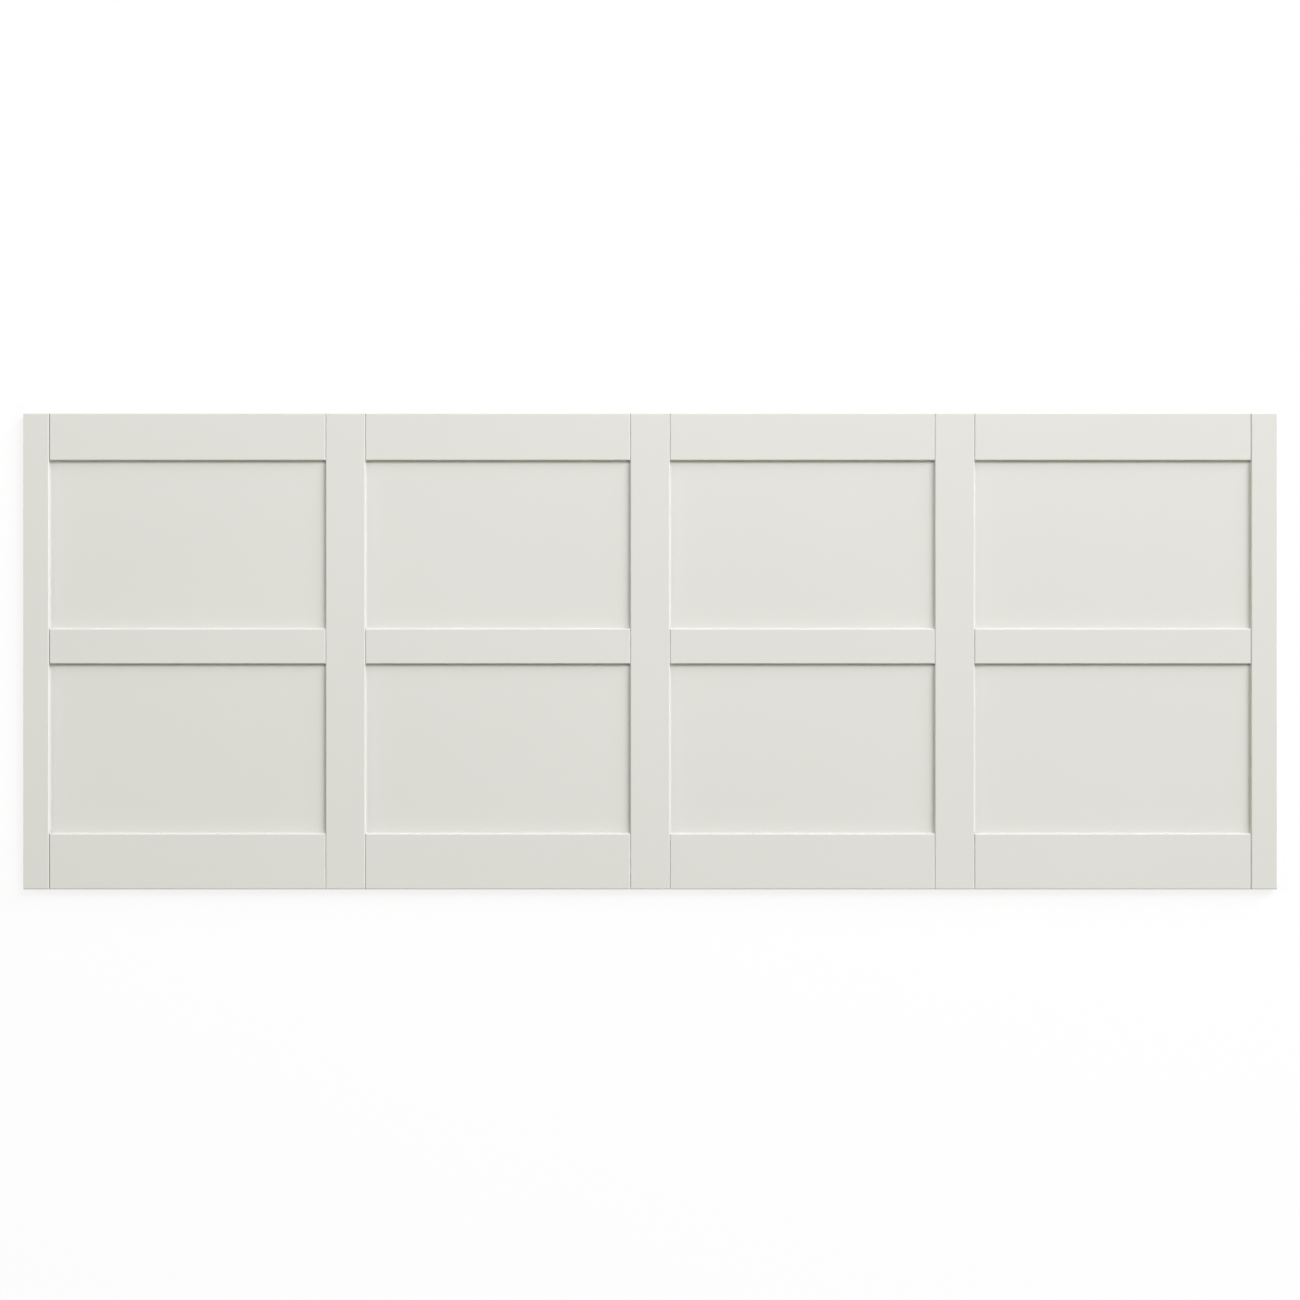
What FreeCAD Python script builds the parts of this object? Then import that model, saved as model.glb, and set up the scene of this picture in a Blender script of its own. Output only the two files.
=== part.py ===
import FreeCAD, Part
import Sketcher
import os

# Shaker wainscot panel of four bays and two rows, lying on its back with its face up.
# X runs along the wall, Y up the wall to the top rail, and Z out of the face.
# The origin is the middle of the back, on the plane of the wall.

# Driving dimensions in millimetres, one cell of the sheet each
SIZES = {
    "end_stile_width": 49.0,
    "mid_stile_width": 76.0,
    "outer_bay_width": 532.0,
    "inner_bay_width": 509.5,
    "bottom_rail_width": 107.0,
    "lower_opening_height": 326.5,
    "mid_rail_width": 67.5,
    "upper_opening_height": 323.5,
    "top_rail_width": 90.5,
    # Thickness of the frame, from its back to its face
    "back_lip": 5.0,
    "panel_thickness": 6.0,
    "groove_slip": 0.2,
    "front_lip": 6.8,
    # Groove run along the frame's inner edges, and the play at its bottom
    "groove_depth": 10.0,
    "tongue_play": 0.5,
    "panel_play": 1.0,
    # Open line left at the shoulders of the rails
    "end_joint_gap": 0.9,
    "mid_joint_gap": 0.25,
    # Pencil round on the face's edges
    "edge_round": 2.0,
}

SHEET = "Sizes"
ZERO = "0"

# Sketcher's numbers for the sketch's own origin and for a line's two ends
SKETCH_ORIGIN = -1
LINE_START = 1
LINE_END = 2

# A coordinate within this distance of a plane lies on it
ON_PLANE = 1e-6

STILES = ["left_end_stile", "left_mid_stile", "centre_stile", "right_mid_stile", "right_end_stile"]
STILE_WIDTHS = ["end_stile_width"] + ["mid_stile_width"] * 3 + ["end_stile_width"]
BAY_WIDTHS = ["outer_bay_width", "inner_bay_width", "inner_bay_width", "outer_bay_width"]

# Gap at the left and right shoulder of each bay's rails
BAY_GAPS = [
    ("end_joint_gap", "mid_joint_gap"),
    ("mid_joint_gap", "mid_joint_gap"),
    ("mid_joint_gap", "mid_joint_gap"),
    ("mid_joint_gap", "end_joint_gap"),
]

# Rails and openings from the bottom edge to the top edge
COURSES = [
    "bottom_rail_width",
    "lower_opening_height",
    "mid_rail_width",
    "upper_opening_height",
    "top_rail_width",
]

# Each rail's name, its place among the courses, and whether its lower and upper edges are grooved
RAILS = [
    ("bottom_rail", 0, False, True),
    ("mid_rail", 2, True, True),
    ("top_rail", 4, True, False),
]
PANELS = [("lower_panel", 1), ("upper_panel", 3)]


def cell(alias):
    """Expression that reads one size from the sheet."""
    return f"{SHEET}.{alias}"


def total(aliases):
    """Expression for the sum of several sizes."""
    return "(" + " + ".join([ZERO] + [cell(alias) for alias in aliases]) + ")"


FRAME_THICKNESS = total(["back_lip", "panel_thickness", "groove_slip", "front_lip"])
GROOVE_BACK = cell("back_lip")
GROOVE_FRONT = total(["back_lip", "panel_thickness", "groove_slip"])
PANEL_FRONT = total(["back_lip", "panel_thickness"])
TONGUE_LENGTH = f"({cell('groove_depth')} - {cell('tongue_play')})"
PANEL_REACH = f"({cell('groove_depth')} - {cell('panel_play')})"
FULL_WIDTH = total(STILE_WIDTHS + BAY_WIDTHS)
FULL_HEIGHT = total(COURSES)


def stile_left(index):
    """Expression for the left edge of a stile."""
    return f"{total(STILE_WIDTHS[:index] + BAY_WIDTHS[:index])} - {FULL_WIDTH} / 2"


def bay_left(index):
    """Expression for the left edge of a bay."""
    return f"{total(STILE_WIDTHS[:index + 1] + BAY_WIDTHS[:index])} - {FULL_WIDTH} / 2"


def course_bottom(index):
    """Expression for the lower edge of a course."""
    return f"{total(COURSES[:index])} - {FULL_HEIGHT} / 2"


def make_sheet(document):
    """Write the driving dimensions into the sheet, each with its alias."""
    sheet = document.addObject("Spreadsheet::Sheet", SHEET)
    for row, (alias, size) in enumerate(SIZES.items(), start=1):
        sheet.set(f"A{row}", alias)
        sheet.set(f"B{row}", str(size))
        sheet.setAlias(f"B{row}", alias)
    document.recompute()


def make_body(document, label):
    """Start a sub-part under its node's name."""
    body = document.addObject("PartDesign::Body", label)
    body.Label = label
    return body


def place(body, left, bottom):
    """Set a sub-part's lower left corner on the plan of the panel."""
    body.setExpression("Placement.Base.x", left)
    body.setExpression("Placement.Base.y", bottom)


def outline(body, plane_role, corners, name, start=ZERO):
    """Draw a closed outline of level and upright lines.

    Each corner is a pair of expressions, each line holds one of them as a distance from the origin,
    and start is how far the sketch stands off its plane.
    """
    plane = next(item for item in body.Origin.OriginFeatures if item.Role == plane_role)
    sketch = body.newObject("Sketcher::SketchObject", name)
    sketch.AttachmentSupport = [(plane, "")]
    sketch.MapMode = "FlatFace"
    sketch.setExpression("AttachmentOffset.Base.z", start)
    values = [(sketch.evalExpression(u), sketch.evalExpression(v)) for u, v in corners]
    count = len(corners)
    for line in range(count):
        begin = FreeCAD.Vector(*values[line], 0)
        end = FreeCAD.Vector(*values[(line + 1) % count], 0)
        sketch.addGeometry(Part.LineSegment(begin, end))
    for line in range(count):
        following = (line + 1) % count
        sketch.addConstraint(Sketcher.Constraint("Coincident", line, LINE_END, following, LINE_START))
        level = corners[line][1] == corners[following][1]
        axis = 1 if level else 0
        sketch.addConstraint(Sketcher.Constraint("Horizontal" if level else "Vertical", line))
        distance = Sketcher.Constraint(
            "DistanceY" if level else "DistanceX",
            SKETCH_ORIGIN, LINE_START, line, LINE_START, values[line][axis],
        )
        number = sketch.addConstraint(distance)
        sketch.setExpression(f"Constraints[{number}]", corners[line][axis])
    return sketch


def rectangle(left, right, bottom, top):
    """Corners of a rectangle between four expressions."""
    return [(left, bottom), (right, bottom), (right, top), (left, top)]


def grooved_section(width, near_groove, far_groove):
    """Corners of a board's section, grooved in its near edge, its far edge or both."""
    depth = cell("groove_depth")
    inner = f"({width} - {depth})"
    corners = [(ZERO, ZERO), (width, ZERO)]
    if far_groove:
        corners += [(width, GROOVE_BACK), (inner, GROOVE_BACK), (inner, GROOVE_FRONT), (width, GROOVE_FRONT)]
    corners += [(width, FRAME_THICKNESS), (ZERO, FRAME_THICKNESS)]
    if near_groove:
        corners += [(ZERO, GROOVE_FRONT), (depth, GROOVE_FRONT), (depth, GROOVE_BACK), (ZERO, GROOVE_BACK)]
    return corners


def pad(body, sketch, length, name, backwards=False):
    """Extrude a sketch by an expression for its length."""
    feature = body.newObject("PartDesign::Pad", name)
    feature.Profile = sketch
    feature.Reversed = backwards
    feature.setExpression("Length", length)
    body.Document.recompute()


def round_face_edges(body, square_sides=()):
    """Round the edges of a board's face, apart from those along the given x positions."""
    base = body.Tip
    front = body.evalExpression(FRAME_THICKNESS)
    kept_square = [body.evalExpression(side) for side in square_sides]
    chosen = []
    for number, edge in enumerate(base.Shape.Edges, start=1):
        box = edge.BoundBox
        on_face = abs(box.ZMin - front) < ON_PLANE and abs(box.ZMax - front) < ON_PLANE
        along_side = any(
            abs(box.XMin - side) < ON_PLANE and abs(box.XMax - side) < ON_PLANE for side in kept_square
        )
        if on_face and not along_side:
            chosen.append(f"Edge{number}")
    fillet = body.newObject("PartDesign::Fillet", "FaceEdges")
    fillet.Base = (base, chosen)
    fillet.setExpression("Radius", cell("edge_round"))
    body.Document.recompute()


def make_stile(document, index):
    """Upright board of the full height, grooved in each edge that faces a bay."""
    body = make_body(document, STILES[index])
    width = cell(STILE_WIDTHS[index])
    faces_left_bay = index > 0
    faces_right_bay = index < len(BAY_WIDTHS)
    section = outline(body, "XZ_Plane", grooved_section(width, faces_left_bay, faces_right_bay), "Section")
    pad(body, section, FULL_HEIGHT, "Board", backwards=True)
    # The panel's two ends stay square, to butt against a wall or the next panel
    square_sides = []
    if not faces_left_bay:
        square_sides.append(ZERO)
    if not faces_right_bay:
        square_sides.append(width)
    round_face_edges(body, square_sides)
    place(body, stile_left(index), course_bottom(0))
    return body


def make_rail(document, rail, bay):
    """Level board between two stiles, with a tongue at each end that fills the stile's groove."""
    name, course, lower_groove, upper_groove = rail
    body = make_body(document, f"{name}_{bay + 1}")
    width = cell(COURSES[course])
    left_gap, right_gap = [cell(gap) for gap in BAY_GAPS[bay]]
    span = cell(BAY_WIDTHS[bay])
    section = outline(
        body, "YZ_Plane", grooved_section(width, lower_groove, upper_groove), "Section", start=left_gap
    )
    pad(body, section, f"{span} - {left_gap} - {right_gap}", "Board")
    tongue_bottom = cell("groove_depth") if lower_groove else ZERO
    tongue_top = f"({width} - {cell('groove_depth')})" if upper_groove else width
    tongue = outline(
        body, "YZ_Plane", rectangle(tongue_bottom, tongue_top, GROOVE_BACK, PANEL_FRONT), "TongueSection",
        start=f"-{TONGUE_LENGTH}",
    )
    pad(body, tongue, f"{span} + 2 * {TONGUE_LENGTH}", "Tongues")
    round_face_edges(body)
    place(body, bay_left(bay), course_bottom(course))
    return body


def make_panel(document, panel, bay):
    """Flat panel that lies loose in the grooves on its four sides."""
    name, course = panel
    body = make_body(document, f"{name}_{bay + 1}")
    width = f"{cell(BAY_WIDTHS[bay])} + 2 * {PANEL_REACH}"
    height = f"{cell(COURSES[course])} + 2 * {PANEL_REACH}"
    sheet = outline(body, "XY_Plane", rectangle(ZERO, width, ZERO, height), "Outline", start=GROOVE_BACK)
    pad(body, sheet, cell("panel_thickness"), "Sheet")
    place(body, f"{bay_left(bay)} - {PANEL_REACH}", f"{course_bottom(course)} - {PANEL_REACH}")
    return body


def check(document, bodies):
    """Stop if any object failed or any sub-part isn't one sound solid."""
    failed = [item.Name for item in document.Objects if "Invalid" in item.State or "Error" in item.State]
    if failed:
        raise RuntimeError("failed objects: " + ", ".join(failed))
    for body in bodies:
        shape = body.Shape
        if shape.isNull() or not shape.isValid() or len(shape.Solids) != 1:
            raise RuntimeError(f"{body.Label} is not one valid solid")


def main():
    document = FreeCAD.newDocument("WainscotPanel")
    make_sheet(document)
    bodies = [make_stile(document, index) for index in range(len(STILES))]
    for bay in range(len(BAY_WIDTHS)):
        bodies += [make_rail(document, rail, bay) for rail in RAILS]
        bodies += [make_panel(document, panel, bay) for panel in PANELS]
    document.recompute()
    check(document, bodies)
    os.makedirs("parts", exist_ok=True)
    for body in bodies:
        body.Shape.exportStep(f"parts/{body.Label}.step")
        box = body.Shape.BoundBox
        print(f"{body.Label}: {box.XLength:.1f} x {box.YLength:.1f} x {box.ZLength:.1f} mm")


main()
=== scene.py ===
"""Painted Shaker wainscot panel, lying face up on a white floor under soft studio light."""
import logging
import math
from dataclasses import dataclass
from enum import Enum
from typing import Any

import bmesh
import bpy
import numpy as np
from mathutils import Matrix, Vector


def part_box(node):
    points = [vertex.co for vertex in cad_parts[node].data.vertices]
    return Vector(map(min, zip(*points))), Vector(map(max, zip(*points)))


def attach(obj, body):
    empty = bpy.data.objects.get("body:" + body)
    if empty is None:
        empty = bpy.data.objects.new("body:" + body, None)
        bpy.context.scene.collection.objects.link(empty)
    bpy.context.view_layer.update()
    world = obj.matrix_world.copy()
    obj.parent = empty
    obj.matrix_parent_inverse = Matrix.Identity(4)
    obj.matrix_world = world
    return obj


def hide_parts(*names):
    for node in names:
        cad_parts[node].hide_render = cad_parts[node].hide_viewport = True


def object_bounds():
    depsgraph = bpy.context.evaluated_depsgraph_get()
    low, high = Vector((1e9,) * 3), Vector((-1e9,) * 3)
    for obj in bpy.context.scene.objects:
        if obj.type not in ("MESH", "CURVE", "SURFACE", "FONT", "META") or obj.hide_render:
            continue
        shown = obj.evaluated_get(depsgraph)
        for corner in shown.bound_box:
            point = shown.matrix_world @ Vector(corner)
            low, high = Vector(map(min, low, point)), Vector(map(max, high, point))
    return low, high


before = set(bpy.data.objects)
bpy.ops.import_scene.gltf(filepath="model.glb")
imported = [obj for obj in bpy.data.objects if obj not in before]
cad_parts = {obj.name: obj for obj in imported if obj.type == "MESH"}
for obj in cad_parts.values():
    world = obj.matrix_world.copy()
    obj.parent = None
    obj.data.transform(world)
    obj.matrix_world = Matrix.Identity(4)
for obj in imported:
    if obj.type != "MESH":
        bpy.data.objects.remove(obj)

log = logging.getLogger("wainscot")
CAD_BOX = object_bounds()
BODY = "root"
BAYS = 4

# Places of a colour Mix node's sockets
MIX_FACTOR = 0
MIX_FIRST = 6
MIX_SECOND = 7
MIX_RESULT = 2

Colour = tuple[float, float, float]


class Run(Enum):
    """Which way a piece runs: the axes of its width and of its length."""

    UPRIGHT = (0, 1)
    LEVEL = (1, 0)


class Socket:
    """An output socket that takes part in Python arithmetic, each step adding a Math node."""

    def __init__(self, recipe: "Recipe", socket: Any) -> None:
        """Keep the socket and the recipe whose node tree it is in."""
        self.recipe = recipe
        self.socket = socket

    def beside(self, output: str) -> "Socket":
        """Another output of the same node."""
        return Socket(self.recipe, self.socket.node.outputs[output])

    def _math(self, operation: str, first: Any, second: Any) -> "Socket":
        """Add one Math node.

        Args:
            operation: the Math node's operation.
            first: its first value or link.
            second: its second value or link.

        Returns:
            The node's result.
        """
        return self.recipe.node("ShaderNodeMath", {"operation": operation}, {0: first, 1: second})

    def __add__(self, other: Any) -> "Socket":
        """Sum of two values."""
        return self._math("ADD", self, other)

    def __radd__(self, other: Any) -> "Socket":
        """Sum of two values."""
        return self._math("ADD", other, self)

    def __mul__(self, other: Any) -> "Socket":
        """Product of two values."""
        return self._math("MULTIPLY", self, other)

    def __rmul__(self, other: Any) -> "Socket":
        """Product of two values."""
        return self._math("MULTIPLY", other, self)


class Recipe:
    """A node tree that is filled by one method for any node."""

    def __init__(self, tree: bpy.types.NodeTree) -> None:
        """Start from an empty tree."""
        self.tree = tree
        tree.nodes.clear()

    def node(self, kind: str, settings: dict[str, Any], inputs: dict[Any, Any], output: Any = 0) -> Socket:
        """Add a node, set it up, then fill its sockets.

        Args:
            kind: the node's type.
            settings: attributes of the node, set first.
            inputs: socket name or index to a value, or to a Socket to link.
            output: name or index of the output that is returned.

        Returns:
            The chosen output.
        """
        made = self.tree.nodes.new(kind)
        for name, value in settings.items():
            setattr(made, name, value)
        for key, value in inputs.items():
            if isinstance(value, Socket):
                self.tree.links.new(value.socket, made.inputs[key])
            else:
                made.inputs[key].default_value = value
        return Socket(self, made.outputs[output] if made.outputs else None)


def new_material(name: str) -> tuple[bpy.types.Material, Recipe]:
    """Make an empty node material.

    Args:
        name: the material's name.

    Returns:
        The material and the recipe that fills it.
    """
    material = bpy.data.materials.new(name)
    material.use_nodes = True
    return material, Recipe(material.node_tree)


def showing_rays(recipe: Recipe) -> Socket:
    """Mark the rays that show the background: from the camera, off gloss and through glass.

    Args:
        recipe: the recipe that uses the mark.

    Returns:
        One for such a ray, and nought for the rays that only light the object.
    """
    camera = recipe.node("ShaderNodeLightPath", {}, {}, "Is Camera Ray")
    return camera + camera.beside("Is Glossy Ray") + camera.beside("Is Transmission Ray")


@dataclass(frozen=True)
class SatinPaint:
    """Satin joinery paint with a faint orange peel and lay-off strokes along each board."""

    colour: Colour = (0.743, 0.74, 0.69)
    roughness: float = 0.36
    roughness_spread: float = 0.08
    gloss: float = 0.3
    tone_spread: float = 0.012
    cloud_scale: float = 3.0
    peel_scale: float = 420.0
    peel_share: float = 0.6
    stroke_scale: float = 700.0
    stroke_stretch: float = 0.03
    film_strength: float = 0.05
    film_height: float = 0.0004

    def build(self, name: str, run: Run) -> bpy.types.Material:
        """Make the paint's material.

        Args:
            name: the material's name.
            run: which way the strokes run.

        Returns:
            The material.
        """
        material, recipe = new_material(name)
        place = recipe.node("ShaderNodeTexCoord", {}, {}, "Object")
        cloud = recipe.node("ShaderNodeTexNoise", {}, {"Vector": place, "Scale": self.cloud_scale}, "Fac")
        peel = recipe.node("ShaderNodeTexNoise", {}, {"Vector": place, "Scale": self.peel_scale}, "Fac")
        stretch = [1.0, 1.0, 1.0]
        stretch[run.value[1]] = self.stroke_stretch
        along = recipe.node("ShaderNodeMapping", {}, {"Vector": place, "Scale": stretch})
        stroke = recipe.node("ShaderNodeTexNoise", {}, {"Vector": along, "Scale": self.stroke_scale}, "Fac")
        film = self.peel_share * peel + (1.0 - self.peel_share) * stroke
        dark = tuple(c * (1.0 - self.tone_spread) for c in self.colour)
        pale = tuple(c * (1.0 + self.tone_spread) for c in self.colour)
        tone = recipe.node(
            "ShaderNodeMix",
            {"data_type": "RGBA"},
            {MIX_FACTOR: cloud, MIX_FIRST: (*dark, 1.0), MIX_SECOND: (*pale, 1.0)},
            MIX_RESULT,
        )
        bump = recipe.node(
            "ShaderNodeBump",
            {},
            {"Strength": self.film_strength, "Distance": self.film_height, "Height": film},
        )
        low = self.roughness - 0.5 * self.roughness_spread
        shader = recipe.node(
            "ShaderNodeBsdfPrincipled",
            {},
            {
                "Base Color": tone,
                "Roughness": low + self.roughness_spread * film,
                "Specular IOR Level": self.gloss,
                "Normal": bump,
            },
        )
        recipe.node("ShaderNodeOutputMaterial", {}, {"Surface": shader})
        return material


@dataclass(frozen=True)
class WhiteFloor:
    """Matt floor that shows white, and a little darker where the panel shades it."""

    colour: float = 0.16
    glow: float = 0.845

    def build(self, name: str) -> bpy.types.Material:
        """Make the floor's material.

        Args:
            name: the material's name.

        Returns:
            The material.
        """
        material, recipe = new_material(name)
        grey = (self.colour, self.colour, self.colour, 1.0)
        matt = recipe.node("ShaderNodeBsdfDiffuse", {}, {"Color": grey})
        white = recipe.node("ShaderNodeEmission", {}, {"Strength": showing_rays(recipe) * self.glow})
        both = recipe.node("ShaderNodeAddShader", {}, {0: matt, 1: white})
        recipe.node("ShaderNodeOutputMaterial", {}, {"Surface": both})
        return material


@dataclass
class BoardStock:
    """Sizes in metres that every board of the frame shares, and how finely its surface is worked out."""

    thickness: float = 0.018
    groove_depth: float = 0.010
    groove_back: float = 0.005
    groove_front: float = 0.0112
    tongue_front: float = 0.011
    tongue_length: float = 0.0095
    tongue_ease: float = 0.0006
    tongue_root: float = 0.00005
    face_round: float = 0.002
    eased_round: float = 0.0004
    sanding: float = 0.03
    sanding_waves: tuple[float, ...] = (0.31, 0.127, 0.057)
    board_turn: float = 0.37
    far_turn: float = 0.5
    end_turn: float = 0.25
    arc_steps: int = 8
    face_steps: int = 5
    support: float = 0.0003
    station_step: float = 0.025
    weld: float = 1e-6
    sharp_angle: float = math.radians(35.0)

    def sanded(self, distance: np.ndarray, start: float) -> np.ndarray:
        """How much the hand-sanded round swells and thins.

        The factor is one plus the sanding times the mean of three sines of the distance.

        Args:
            distance: distances along the edge.
            start: where in the waves the edge begins, in turns.

        Returns:
            Factors close to one.
        """
        lengths = np.array(self.sanding_waves)
        turns = np.asarray(distance)[..., None] / lengths + start * np.arange(1, len(lengths) + 1)
        return 1.0 + self.sanding * np.sin(2.0 * np.pi * turns).mean(axis=-1)

    def outline(self, width: float, near_depth: float, far_depth: float) -> np.ndarray:
        """Work out a board's section, counterclockwise from its near back corner.

        A point of a round of radius r at angle a is the corner plus r times (cos a - 1, sin a - 1), so each
        row is a fixed point across and up the section, then what a metre of the near round and a metre
        of the far round add to it, each across and up.

        Args:
            width: width of the board.
            near_depth: depth of the groove in its near edge, or 0.
            far_depth: depth of the groove in its far edge, or 0.

        Returns:
            Rows of six numbers.
        """
        quarter = np.linspace(0.0, 0.5 * np.pi, self.arc_steps + 1)
        cos, sin = np.cos(quarter), np.sin(quarter)
        back, front, top = self.groove_back, self.groove_front, self.thickness
        ease = self.eased_round

        def rows(across: Any, up: Any, near: Any = (0.0, 0.0), far: Any = (0.0, 0.0)) -> np.ndarray:
            """Rows from columns of numbers."""
            return np.stack(np.broadcast_arrays(across, up, *near, *far), axis=-1).reshape(-1, 6)

        face = np.linspace(width, 0.0, self.face_steps + 2)[1:-1]
        return np.concatenate([
            rows(ease * (1.0 - cos), ease * (1.0 - sin)),
            rows(width + ease * (sin - 1.0), ease * (1.0 - cos)),
            rows(width - far_depth * np.array([0, 1, 1, 0]), np.array([back, back, front, front])),
            rows(width, top, far=(cos - 1.0, sin - 1.0)),
            rows(width - self.support, top, far=(-1.0, 0.0)),
            rows(face, top),
            rows(self.support, top, near=(1.0, 0.0)),
            rows(0.0, top, near=(1.0 - sin, cos - 1.0)),
            rows(near_depth * np.array([0, 1, 1, 0]), np.array([front, front, back, back])),
        ])


@dataclass
class Board:
    """One board of the frame: its section carried along its length, with tongues at its ends or without."""

    node: str
    run: Run
    near_groove: bool
    far_groove: bool
    near_round: float
    far_round: float
    number: int
    tongued: bool = False
    shoulder_gaps: tuple[float, float] = (0.0, 0.0)

    def stations(self, stock: BoardStock, length: float) -> np.ndarray:
        """Distances along the board: close together over the rounds at its ends, and evenly spaced between.

        Args:
            stock: the sizes that the boards share.
            length: length between the board's ends or shoulders.

        Returns:
            The distances from its low end.
        """
        bend = np.linspace(0.0, 0.5 * np.pi, stock.arc_steps + 1)
        lead = stock.face_round * (1.0 - np.cos(bend))
        edge = stock.face_round + stock.support
        count = int(round(length / stock.station_step)) + 1
        return np.concatenate([lead, np.linspace(edge, length - edge, count), length - lead[::-1]])

    def groove_depths(self, stock: BoardStock) -> tuple[float, float]:
        """Depths of the grooves in the near and the far edge, nought where there is none."""
        return stock.groove_depth * self.near_groove, stock.groove_depth * self.far_groove

    def with_tongues(
        self, stock: BoardStock, width: float, along: np.ndarray, across: np.ndarray, up: np.ndarray
    ) -> tuple[np.ndarray, np.ndarray, np.ndarray]:
        """Carry both ends of the board on into tongues.

        A tongue is the end's own section held to the tongue's width and thickness, so that the shoulder
        closes by itself. Its four stations are its tip, the end of the tip's ease, its root, and the inner
        line of the shoulder.

        Args:
            stock: the sizes that the boards share.
            width: width of the board.
            along: the board's stations.
            across: places across the section, a row for each station.
            up: heights in the section, a row for each station.

        Returns:
            The three arrays, with the tongues' rows before and after the board's.
        """
        near_depth, far_depth = self.groove_depths(stock)
        near_gap, far_gap = self.shoulder_gaps
        ease = np.array([stock.tongue_ease, 0.0, 0.0, 0.0])[:, None]
        roof = np.array([0.0, 0.0, 0.0, stock.groove_front - stock.tongue_front])[:, None]
        bottom, ceiling = stock.groove_back + ease, stock.tongue_front - ease + roof
        left, right = near_depth + ease, width - far_depth - ease
        tongue = stock.tongue_length
        reach = np.array([tongue, tongue - stock.tongue_ease, stock.tongue_root, 0.0])
        past_gap = np.array([1.0, 1.0, 0.0, 0.0])
        before = -(reach + past_gap * near_gap)
        after = along[-1] + reach + past_gap * far_gap

        def joined(rows: np.ndarray, least: np.ndarray, most: np.ndarray) -> np.ndarray:
            """Rows of a tongue, of the board and of the other tongue."""
            first, last = np.clip(rows[0], least, most), np.clip(rows[-1], least, most)
            return np.concatenate([first, rows, last[::-1]])

        along = np.concatenate([before, along, after[::-1]])
        return along, joined(across, left, right), joined(up, bottom, ceiling)

    def surface(self, stock: BoardStock) -> np.ndarray:
        """Work out the board as a grid of points, one row a station and one column a point of the section.

        Along the board the section's rounds follow the sanding. Near an end the face drops by
        r - sqrt(r^2 - (r - d)^2) at a distance d under r, which is the round of the end.

        Args:
            stock: the sizes that the boards share.

        Returns:
            Points in metres, stations by section points by three.
        """
        low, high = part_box(self.node)
        wide, long = self.run.value
        width = high[wide] - low[wide]
        tongue = stock.tongue_length if self.tongued else 0.0
        begin = low[long] + tongue + self.shoulder_gaps[0]
        length = high[long] - tongue - self.shoulder_gaps[1] - begin
        start = self.number * stock.board_turn
        along = self.stations(stock, length)
        section = stock.outline(width, *self.groove_depths(stock))
        near = (self.near_round * stock.sanded(along, start))[:, None]
        far = (self.far_round * stock.sanded(along, start + stock.far_turn))[:, None]
        across = section[:, 0] + near * section[:, 2] + far * section[:, 4]
        up = section[:, 1] + near * section[:, 3] + far * section[:, 5]
        end_round = stock.face_round * stock.sanded(across, start + stock.end_turn)
        reach = np.minimum(along, length - along)[:, None]
        short = np.clip(end_round - reach, 0.0, None)
        up = np.minimum(up, stock.thickness - end_round + np.sqrt(end_round**2 - short**2))
        if self.tongued:
            along, across, up = self.with_tongues(stock, width, along, across, up)
        points = np.empty((*across.shape, 3))
        points[..., wide] = low[wide] + across
        points[..., long] = (begin + along)[:, None]
        points[..., 2] = low.z + up
        return points

    def build(self, stock: BoardStock) -> bpy.types.Object:
        """Make the board's mesh from its grid of points, closed along the section and at both ends.

        Args:
            stock: the sizes that the boards share.

        Returns:
            The board, in place of its CAD node.
        """
        points = self.surface(stock)
        rows, columns = points.shape[:2]
        index = np.arange(rows * columns).reshape(rows, columns)
        beside = np.roll(index, -1, axis=1)
        quads = np.stack([index[:-1], index[1:], beside[1:], beside[:-1]], axis=-1).reshape(-1, 4)
        first, last = index[0], index[-1][::-1]
        if self.run is Run.LEVEL:
            quads, first, last = quads[:, ::-1], first[::-1], last[::-1]
        faces = [*quads.tolist(), first.tolist(), last.tolist()]
        mesh = bpy.data.meshes.new(f"{self.node}_board")
        mesh.from_pydata(points.reshape(-1, 3).tolist(), [], faces)
        shape = bmesh.new()
        shape.from_mesh(mesh)
        bmesh.ops.remove_doubles(shape, verts=shape.verts, dist=stock.weld)
        bmesh.ops.dissolve_degenerate(shape, edges=shape.edges, dist=stock.weld)
        shape.to_mesh(mesh)
        shape.free()
        mesh.shade_smooth()
        mesh.set_sharp_from_angle(angle=stock.sharp_angle)
        board = bpy.data.objects.new(f"{self.node}_board", mesh)
        bpy.context.scene.collection.objects.link(board)
        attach(board, BODY)
        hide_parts(self.node)
        return board


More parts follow.
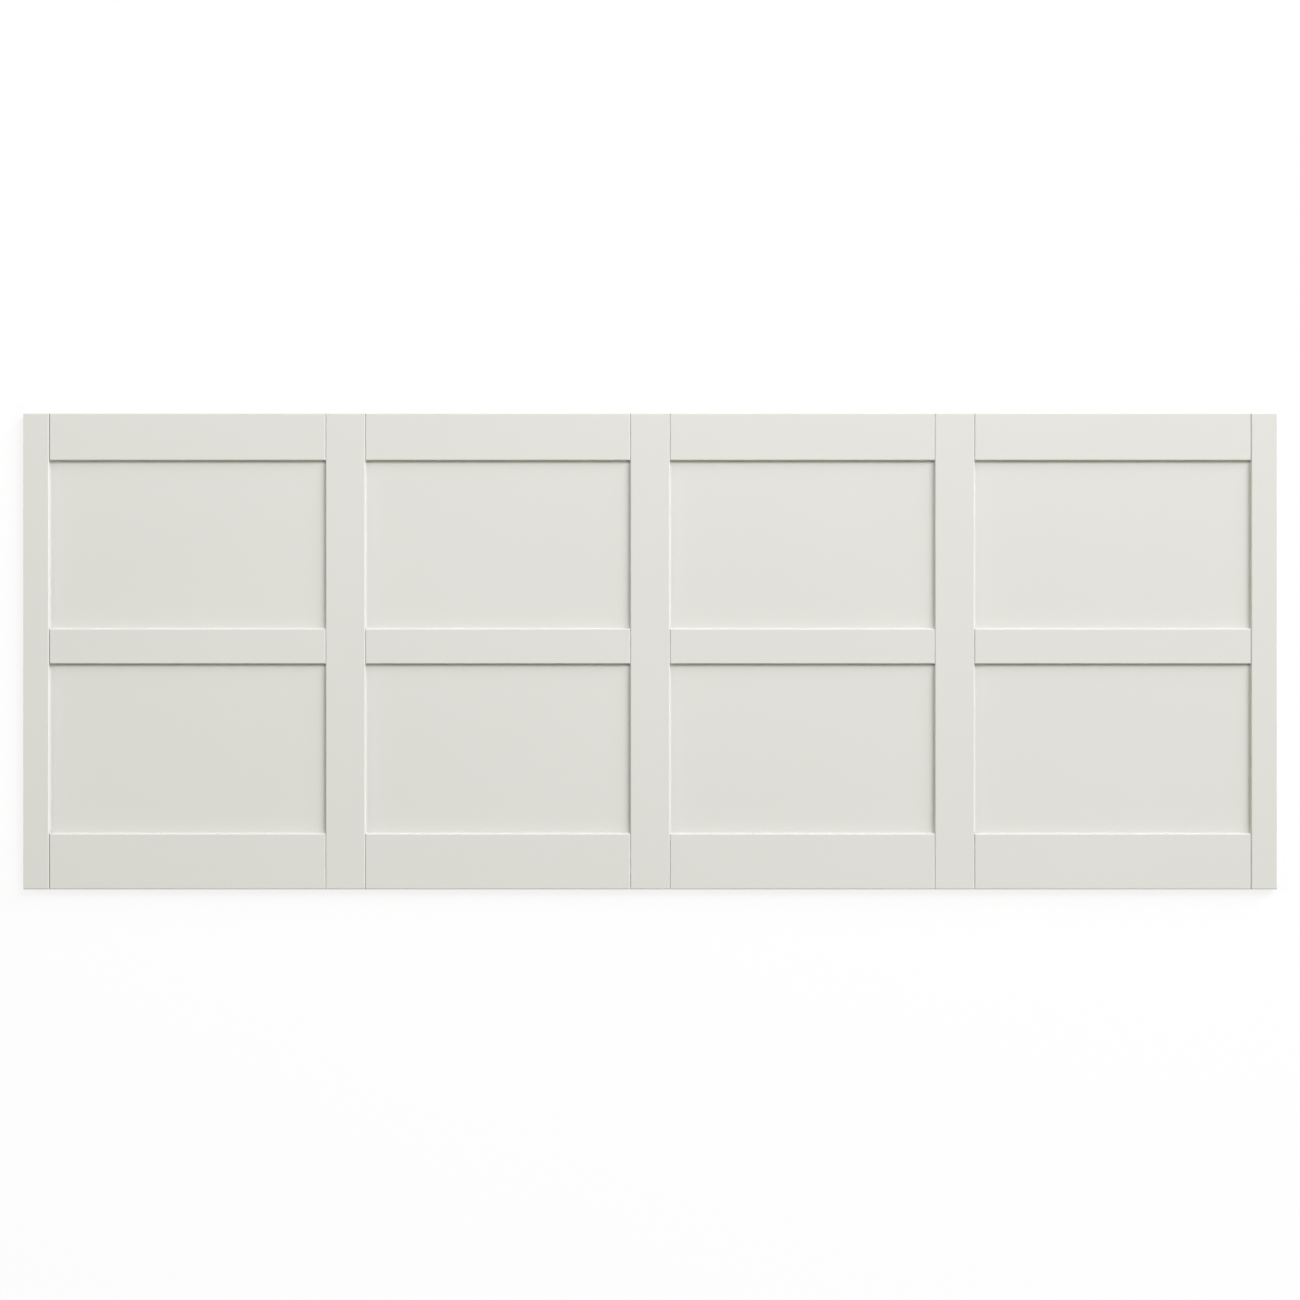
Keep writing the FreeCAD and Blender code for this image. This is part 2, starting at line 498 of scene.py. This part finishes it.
@dataclass
class Frame:
    """The stiles, named from the left, and the rails, from the bottom with the grooves below and above."""

    stock: BoardStock
    bays: int = BAYS
    end_gap: float = 0.0009
    mid_gap: float = 0.00025
    stiles: tuple[str, ...] = (
        "left_end_stile", "left_mid_stile", "centre_stile", "right_mid_stile", "right_end_stile"
    )
    rails: tuple[tuple[str, bool, bool], ...] = (
        ("bottom_rail", False, True), ("mid_rail", True, True), ("top_rail", True, False)
    )

    def stile(self, place: int) -> Board:
        """Plan one upright board, grooved and rounded on the sides that face a bay.

        Args:
            place: the stile's place from the left, from 0.

        Returns:
            The board.
        """
        faces_left, faces_right = place > 0, place < self.bays
        soft, square = self.stock.face_round, self.stock.eased_round
        return Board(
            node=self.stiles[place],
            run=Run.UPRIGHT,
            near_groove=faces_left,
            far_groove=faces_right,
            near_round=soft if faces_left else square,
            far_round=soft if faces_right else square,
            number=place,
        )

    def rail(self, course: int, bay: int) -> Board:
        """Plan one level board of a bay, with its tongues and the open line at its shoulders.

        Args:
            course: the rail's place from the bottom, from 0.
            bay: the bay's place from the left, from 0.

        Returns:
            The board.
        """
        name, lower_groove, upper_groove = self.rails[course]
        return Board(
            node=f"{name}_{bay + 1}",
            run=Run.LEVEL,
            near_groove=lower_groove,
            far_groove=upper_groove,
            near_round=self.stock.face_round,
            far_round=self.stock.face_round,
            number=len(self.stiles) + course * self.bays + bay,
            tongued=True,
            shoulder_gaps=(
                self.end_gap if bay == 0 else self.mid_gap,
                self.end_gap if bay == self.bays - 1 else self.mid_gap,
            ),
        )

    def build(self, paint: SatinPaint) -> list[bpy.types.Object]:
        """Make the boards and paint each along its length.

        Args:
            paint: the frame's paint.

        Returns:
            The boards.
        """
        coats = {
            Run.UPRIGHT: paint.build("stile_paint", Run.UPRIGHT),
            Run.LEVEL: paint.build("rail_paint", Run.LEVEL),
        }
        boards = [self.stile(place) for place in range(len(self.stiles))]
        boards += [self.rail(course, bay) for course in range(len(self.rails)) for bay in range(self.bays)]
        pieces = []
        for board in boards:
            piece = board.build(self.stock)
            piece.data.materials.append(coats[board.run])
            pieces.append(piece)
        return pieces


@dataclass
class Panels:
    """The flat panels, which keep the CAD model's shape."""

    bays: int = BAYS
    rows: tuple[str, ...] = ("lower_panel", "upper_panel")

    def dress(self, paint: SatinPaint) -> list[bpy.types.Object]:
        """Paint the panels.

        Args:
            paint: the panels' paint.

        Returns:
            The panels.
        """
        coat = paint.build("panel_paint", Run.LEVEL)
        panels = [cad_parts[f"{row}_{bay + 1}"] for row in self.rows for bay in range(self.bays)]
        for panel in panels:
            panel.material_slots[0].material = coat
        return panels


@dataclass(frozen=True)
class SoftBox:
    """A square soft box aimed at the middle of the panel, with its angles in degrees.

    Gloss shows the box only if it is mirrored.
    """

    name: str
    share: float
    tilt: float
    azimuth: float
    distance: float
    spread: float = 26.0
    colour: Colour = (1.0, 1.0, 1.0)
    mirrored: bool = False

    def hang(self) -> bpy.types.Object:
        """Hang the box where it gives the face its share of the light.

        Under a lamp of power p at a distance d, t away from straight above, a level matt face shows its
        colour times p cos(t) / (pi d)^2, which is the share.

        Returns:
            The lamp.
        """
        tilt, azimuth = math.radians(self.tilt), math.radians(self.azimuth)
        towards = Vector(
            (math.sin(tilt) * math.cos(azimuth), math.sin(tilt) * math.sin(azimuth), math.cos(tilt))
        )
        lamp = bpy.data.lights.new(self.name, "AREA")
        lamp.size = 2.0 * self.distance * math.tan(math.radians(0.5 * self.spread))
        lamp.energy = self.share * (math.pi * self.distance) ** 2 / math.cos(tilt)
        lamp.color = self.colour
        box = bpy.data.objects.new(self.name, lamp)
        box.location = towards * self.distance
        box.rotation_euler = towards.to_track_quat("Z", "Y").to_euler()
        box.visible_camera = False
        box.visible_glossy = self.mirrored
        bpy.context.scene.collection.objects.link(box)
        return box


@dataclass
class Studio:
    """White floor, soft boxes mostly at the upper right, and a camera that looks straight down."""

    face_height: float
    frame_width: float = 2.4982
    lens: float = 59.0
    sensor: float = 36.0
    centre: tuple[float, float] = (-0.0002, 0.0025)
    ambient: float = 0.01
    boxes: tuple[SoftBox, ...] = (
        SoftBox(
            "key", share=0.374, tilt=50.0, azimuth=45.0, distance=28.0,
            colour=(0.968, 0.953, 1.0),
        ),
        SoftBox(
            "low_key", share=0.165, tilt=74.0, azimuth=45.0, distance=26.0, spread=20.0,
            colour=(0.865, 0.915, 1.0),
        ),
        SoftBox(
            "top", share=0.229, tilt=40.0, azimuth=80.0, distance=4.9, mirrored=True,
            colour=(0.984, 0.956, 1.0),
        ),
        SoftBox(
            "left_fill", share=0.173, tilt=58.0, azimuth=160.0, distance=28.0,
            colour=(0.985, 1.0, 0.87),
        ),
        SoftBox(
            "low_fill", share=0.14, tilt=58.0, azimuth=315.0, distance=28.0,
            colour=(1.0, 1.0, 0.87),
        ),
    )
    floor_finish: WhiteFloor = WhiteFloor()
    floor_half: float = 6.0
    floor_drop: float = 0.0002

    def make_floor(self) -> bpy.types.Object:
        """Lay the floor just under the panel.

        Returns:
            The floor.
        """
        half, z = self.floor_half, -self.floor_drop
        corners = np.array([(-half, -half, z), (half, -half, z), (half, half, z), (-half, half, z)])
        mesh = bpy.data.meshes.new("floor")
        mesh.from_pydata(corners.tolist(), [], [(0, 1, 2, 3)])
        floor = bpy.data.objects.new("floor", mesh)
        bpy.context.scene.collection.objects.link(floor)
        mesh.materials.append(self.floor_finish.build("floor_white"))
        return floor

    def make_world(self) -> None:
        """Make the faint light all round, which shows as a white backdrop past the floor's edge."""
        world = bpy.data.worlds.new("studio")
        bpy.context.scene.world = world
        world.use_nodes = True
        recipe = Recipe(world.node_tree)
        white = (1.0, 1.0, 1.0, 1.0)
        faint = recipe.node("ShaderNodeBackground", {}, {"Color": white, "Strength": self.ambient})
        backdrop = recipe.node("ShaderNodeBackground", {}, {"Color": white, "Strength": 1.0})
        both = recipe.node("ShaderNodeMixShader", {}, {0: showing_rays(recipe), 1: faint, 2: backdrop})
        recipe.node("ShaderNodeOutputWorld", {}, {"Surface": both})

    def make_lights(self) -> list[bpy.types.Object]:
        """Hang the soft boxes."""
        return [box.hang() for box in self.boxes]

    def make_camera(self) -> None:
        """Look straight down on the face, at the distance that fills the frame as wide as it should be."""
        data = bpy.data.cameras.new("camera")
        data.lens = self.lens
        data.sensor_width = self.sensor
        camera = bpy.data.objects.new("camera", data)
        bpy.context.scene.collection.objects.link(camera)
        distance = self.frame_width * self.lens / self.sensor
        camera.location = (*self.centre, self.face_height + distance)
        bpy.context.scene.camera = camera


def main() -> None:
    """Dress the panel and set up the studio."""
    logging.basicConfig(level=logging.INFO)
    paint = SatinPaint()
    for board in Frame(BoardStock()).build(paint):
        log.info("board %s: %d faces", board.name, len(board.data.polygons))
    for panel in Panels().dress(paint):
        log.info("panel %s: painted", panel.name)
    studio = Studio(face_height=CAD_BOX[1].z)
    log.info("stage %s: laid", studio.make_floor().name)
    for lamp in studio.make_lights():
        log.info("lamp %s: hung", lamp.name)
    studio.make_world()
    studio.make_camera()
    bpy.context.scene.view_settings.view_transform = "Standard"


if __name__ == "__main__":
    main()
